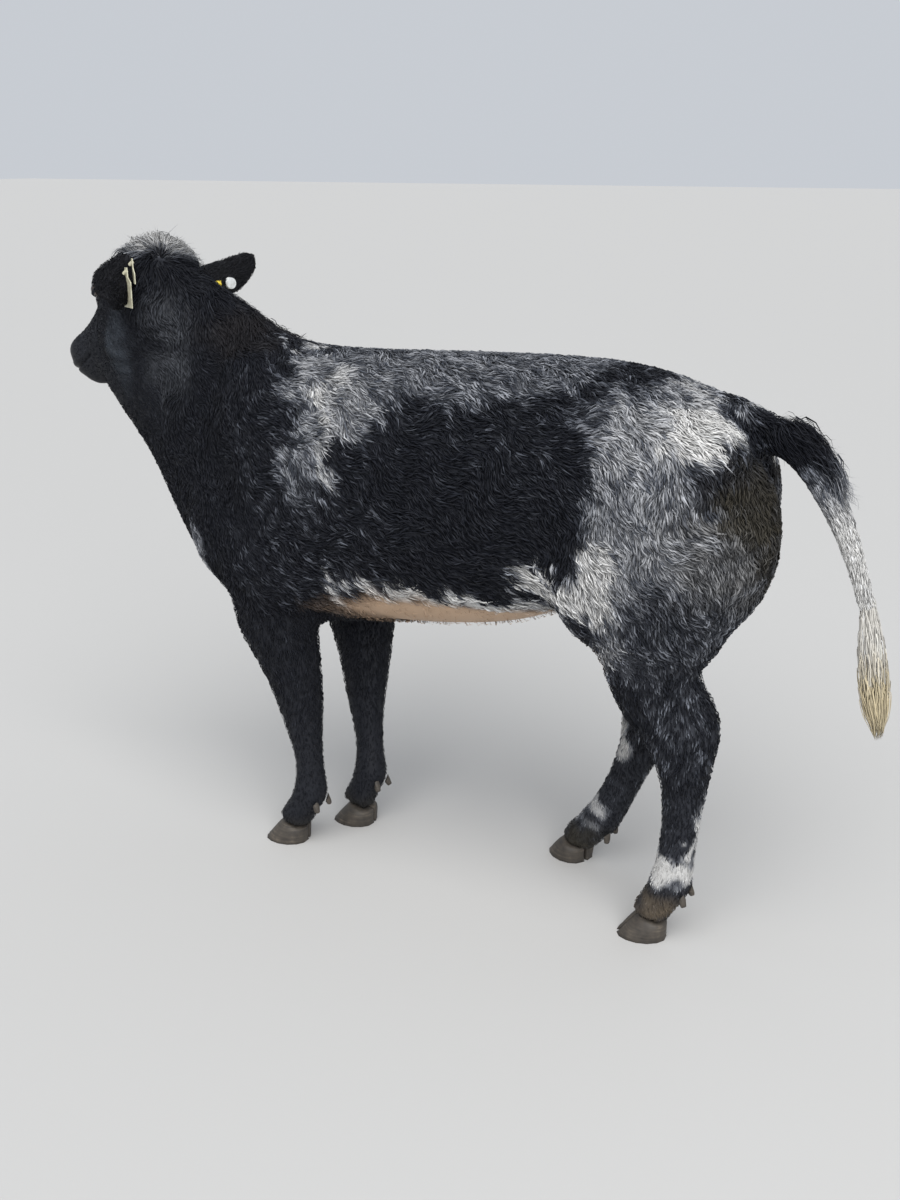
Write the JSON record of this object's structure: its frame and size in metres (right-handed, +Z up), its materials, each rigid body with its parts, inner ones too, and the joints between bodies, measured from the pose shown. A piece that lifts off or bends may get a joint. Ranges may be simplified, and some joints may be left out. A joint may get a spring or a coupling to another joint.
{
  "type": "belgian blue cattle",
  "caption": "Still life-size model of a young blue-roan heifer standing on four feet, head raised and turned, tail held out, with ear tags.",
  "frame": {"origin": "on the ground, under the middle of the animal's box", "axes": "+X towards the tail, -Y the animal's left side, +Z up"},
  "size_m": [1.9738, 0.5376, 1.3504],
  "materials": {
    "dark_coat": "wavy blue-grey, black and white roan hair",
    "pale_coat": "white to cream hair",
    "claw_horn": "grey-brown horn with dried mud",
    "eye_dark": "wet, dark brown",
    "tag_pale": "pale weathered plastic",
    "tag_yellow": "satin",
    "tag_white": "satin"
  },
  "bodies": {
    "root": {"barrel": "dark_coat", "claw_fore_left_inner": "claw_horn", "claw_fore_left_outer": "claw_horn", "claw_fore_right_inner": "claw_horn", "claw_fore_right_outer": "claw_horn", "claw_hind_left_inner": "claw_horn", "claw_hind_left_outer": "claw_horn", "claw_hind_right_inner": "claw_horn", "claw_hind_right_outer": "claw_horn", "dewclaw_fore_left_inner": "claw_horn", "dewclaw_fore_left_outer": "claw_horn", "dewclaw_fore_right_inner": "claw_horn", "dewclaw_fore_right_outer": "claw_horn", "dewclaw_hind_left_inner": "claw_horn", "dewclaw_hind_left_outer": "claw_horn", "dewclaw_hind_right_inner": "claw_horn", "dewclaw_hind_right_outer": "claw_horn", "ear_left": "dark_coat", "ear_right": "dark_coat", "eye_left": "eye_dark", "eye_right": "eye_dark", "foreleg_left_cannon": "dark_coat", "foreleg_left_forearm": "dark_coat", "foreleg_right_cannon": "dark_coat", "foreleg_right_forearm": "dark_coat", "head": "dark_coat", "hindleg_left_cannon": "dark_coat", "hindleg_left_shank": "dark_coat", "hindleg_left_thigh": "dark_coat", "hindleg_right_cannon": "dark_coat", "hindleg_right_shank": "dark_coat", "hindleg_right_thigh": "dark_coat", "neck": "dark_coat", "rump": "dark_coat", "shoulders": "dark_coat", "tag_button_right": "tag_white", "tag_pale_left_a": "tag_pale", "tag_pale_left_b": "tag_pale", "tag_yellow_right": "tag_yellow", "tail_dock": "dark_coat", "tail_middle": "pale_coat", "tail_switch": "pale_coat"}
  },
  "joints": []
}
